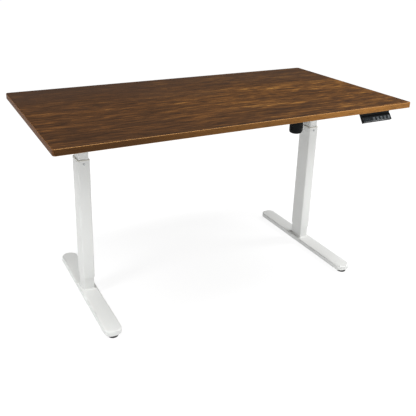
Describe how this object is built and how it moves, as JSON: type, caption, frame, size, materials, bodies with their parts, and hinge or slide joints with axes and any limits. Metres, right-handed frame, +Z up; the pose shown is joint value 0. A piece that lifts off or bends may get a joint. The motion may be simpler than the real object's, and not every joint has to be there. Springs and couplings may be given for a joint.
{
  "type": "height adjustable standing desk",
  "caption": "Standing desk with a walnut-stained board on a white steel frame, whose motor-driven telescopic columns raise the top; handset under the front edge.",
  "frame": {"origin": "on the floor, under the centre of the board", "axes": "+X to the sitter's right along the board, +Y from front to back, +Z up"},
  "size_m": [1.4, 0.73, 0.74],
  "materials": {
    "stained_wood": "walnut-brown stained oak board, satin lacquer, grain along X, lighter orange-brown long edges",
    "white_powder_coat": "white powder coat, fine orange-peel texture, slight gloss",
    "black_plastic": "black moulded plastic, fine matt texture",
    "gloss_black_plastic": "glossy black plastic",
    "button_plastic": null,
    "bright_steel": "zinc-plated steel",
    "cast_aluminium": "die-cast, slightly grainy",
    "white_acetal": "natural white acetal",
    "glide_rubber": "black moulded rubber",
    "circuit_board": "green solder mask"
  },
  "bodies": {
    "base": {"left_foot": "white_powder_coat", "left_foot_stub": "white_powder_coat", "left_outer_tube": "white_powder_coat", "left_base_plate": "bright_steel", "left_nut_tube": "bright_steel", "left_spindle_nut": "white_acetal", "left_guide_collar": "white_acetal", "left_collar_screw": "bright_steel", "right_foot": "white_powder_coat", "right_foot_stub": "white_powder_coat", "right_outer_tube": "white_powder_coat", "right_base_plate": "bright_steel", "right_nut_tube": "bright_steel", "right_spindle_nut": "white_acetal", "right_guide_collar": "white_acetal", "right_collar_screw": "bright_steel"},
    "lift": {"desktop": "stained_wood", "left_inner_tube": "white_powder_coat", "left_lower_guide": "white_acetal", "left_gearbox": "cast_aluminium", "left_side_bracket": "white_powder_coat", "right_inner_tube": "white_powder_coat", "right_lower_guide": "white_acetal", "right_gearbox": "cast_aluminium", "right_side_bracket": "white_powder_coat", "front_rail_left": "white_powder_coat", "front_rail_right": "white_powder_coat", "back_rail_left": "white_powder_coat", "back_rail_right": "white_powder_coat", "motor_casing": "black_plastic", "motor": "bright_steel", "motor_bracket": "white_powder_coat", "control_box_base": "black_plastic", "control_box_cover": "black_plastic", "circuit_board": "circuit_board", "power_inlet": "gloss_black_plastic", "motor_socket": "gloss_black_plastic", "handset_socket": "gloss_black_plastic", "handset_case": "black_plastic", "handset_panel": "gloss_black_plastic", "handset_display": "gloss_black_plastic"},
    "drive_shaft": {"hex_shaft": "bright_steel", "left_shaft_coupling": "bright_steel", "right_shaft_coupling": "bright_steel"},
    "left_spindle": {"left_spindle": "bright_steel"},
    "right_spindle": {"right_spindle": "bright_steel"},
    "left_front_glide": {"left_front_glide_pad": "glide_rubber", "left_front_glide_stud": "bright_steel"},
    "left_back_glide": {"left_back_glide_pad": "glide_rubber", "left_back_glide_stud": "bright_steel"},
    "right_front_glide": {"right_front_glide_pad": "glide_rubber", "right_front_glide_stud": "bright_steel"},
    "right_back_glide": {"right_back_glide_pad": "glide_rubber", "right_back_glide_stud": "bright_steel"},
    "button_memory_1": {"button_memory_1": "button_plastic"},
    "button_memory_2": {"button_memory_2": "button_plastic"},
    "button_memory_3": {"button_memory_3": "button_plastic"},
    "button_up": {"button_up": "button_plastic"},
    "button_down": {"button_down": "button_plastic"}
  },
  "joints": [
    {"name": "lift", "type": "slide", "parent": "base", "child": "lift", "axis": [0, 0, 1], "range_m": [0, 0.4]},
    {"name": "left_spindle_turn", "type": "hinge", "parent": "lift", "child": "left_spindle", "pos_m": [-0.513, 0.011, 0.4], "axis": [0, 0, 1], "continuous": true},
    {"name": "right_spindle_turn", "type": "hinge", "parent": "lift", "child": "right_spindle", "pos_m": [0.513, 0.011, 0.4], "axis": [0, 0, 1], "continuous": true},
    {"name": "drive_shaft_turn", "type": "hinge", "parent": "lift", "child": "drive_shaft", "pos_m": [0, 0.011, 0.697], "axis": [1, 0, 0], "continuous": true},
    {"name": "left_front_glide_turn", "type": "hinge", "parent": "base", "child": "left_front_glide", "pos_m": [-0.513, -0.289, 0.004], "axis": [0, 0, 1], "continuous": true},
    {"name": "left_back_glide_turn", "type": "hinge", "parent": "base", "child": "left_back_glide", "pos_m": [-0.513, 0.267, 0.004], "axis": [0, 0, 1], "continuous": true},
    {"name": "right_front_glide_turn", "type": "hinge", "parent": "base", "child": "right_front_glide", "pos_m": [0.513, -0.289, 0.004], "axis": [0, 0, 1], "continuous": true},
    {"name": "right_back_glide_turn", "type": "hinge", "parent": "base", "child": "right_back_glide", "pos_m": [0.513, 0.267, 0.004], "axis": [0, 0, 1], "continuous": true},
    {"name": "button_memory_1_press", "type": "slide", "parent": "lift", "child": "button_memory_1", "axis": [0, 0.8191, -0.5736], "range_m": [0, 0.0005], "stiffness_N_per_m": 1500, "springref_m": -0.0005},
    {"name": "button_memory_2_press", "type": "slide", "parent": "lift", "child": "button_memory_2", "axis": [0, 0.8191, -0.5736], "range_m": [0, 0.0005], "stiffness_N_per_m": 1500, "springref_m": -0.0005},
    {"name": "button_memory_3_press", "type": "slide", "parent": "lift", "child": "button_memory_3", "axis": [0, 0.8191, -0.5736], "range_m": [0, 0.0005], "stiffness_N_per_m": 1500, "springref_m": -0.0005},
    {"name": "button_up_press", "type": "slide", "parent": "lift", "child": "button_up", "axis": [0, 0.8191, -0.5736], "range_m": [0, 0.0005], "stiffness_N_per_m": 1500, "springref_m": -0.0005},
    {"name": "button_down_press", "type": "slide", "parent": "lift", "child": "button_down", "axis": [0, 0.8191, -0.5736], "range_m": [0, 0.0005], "stiffness_N_per_m": 1500, "springref_m": -0.0005}
  ],
  "couplings": [
    {"joint": "left_spindle_turn", "follows": "lift", "rad_per_m": 785.4},
    {"joint": "right_spindle_turn", "follows": "lift", "rad_per_m": 785.4},
    {"joint": "drive_shaft_turn", "follows": "lift", "rad_per_m": 785.4}
  ]
}
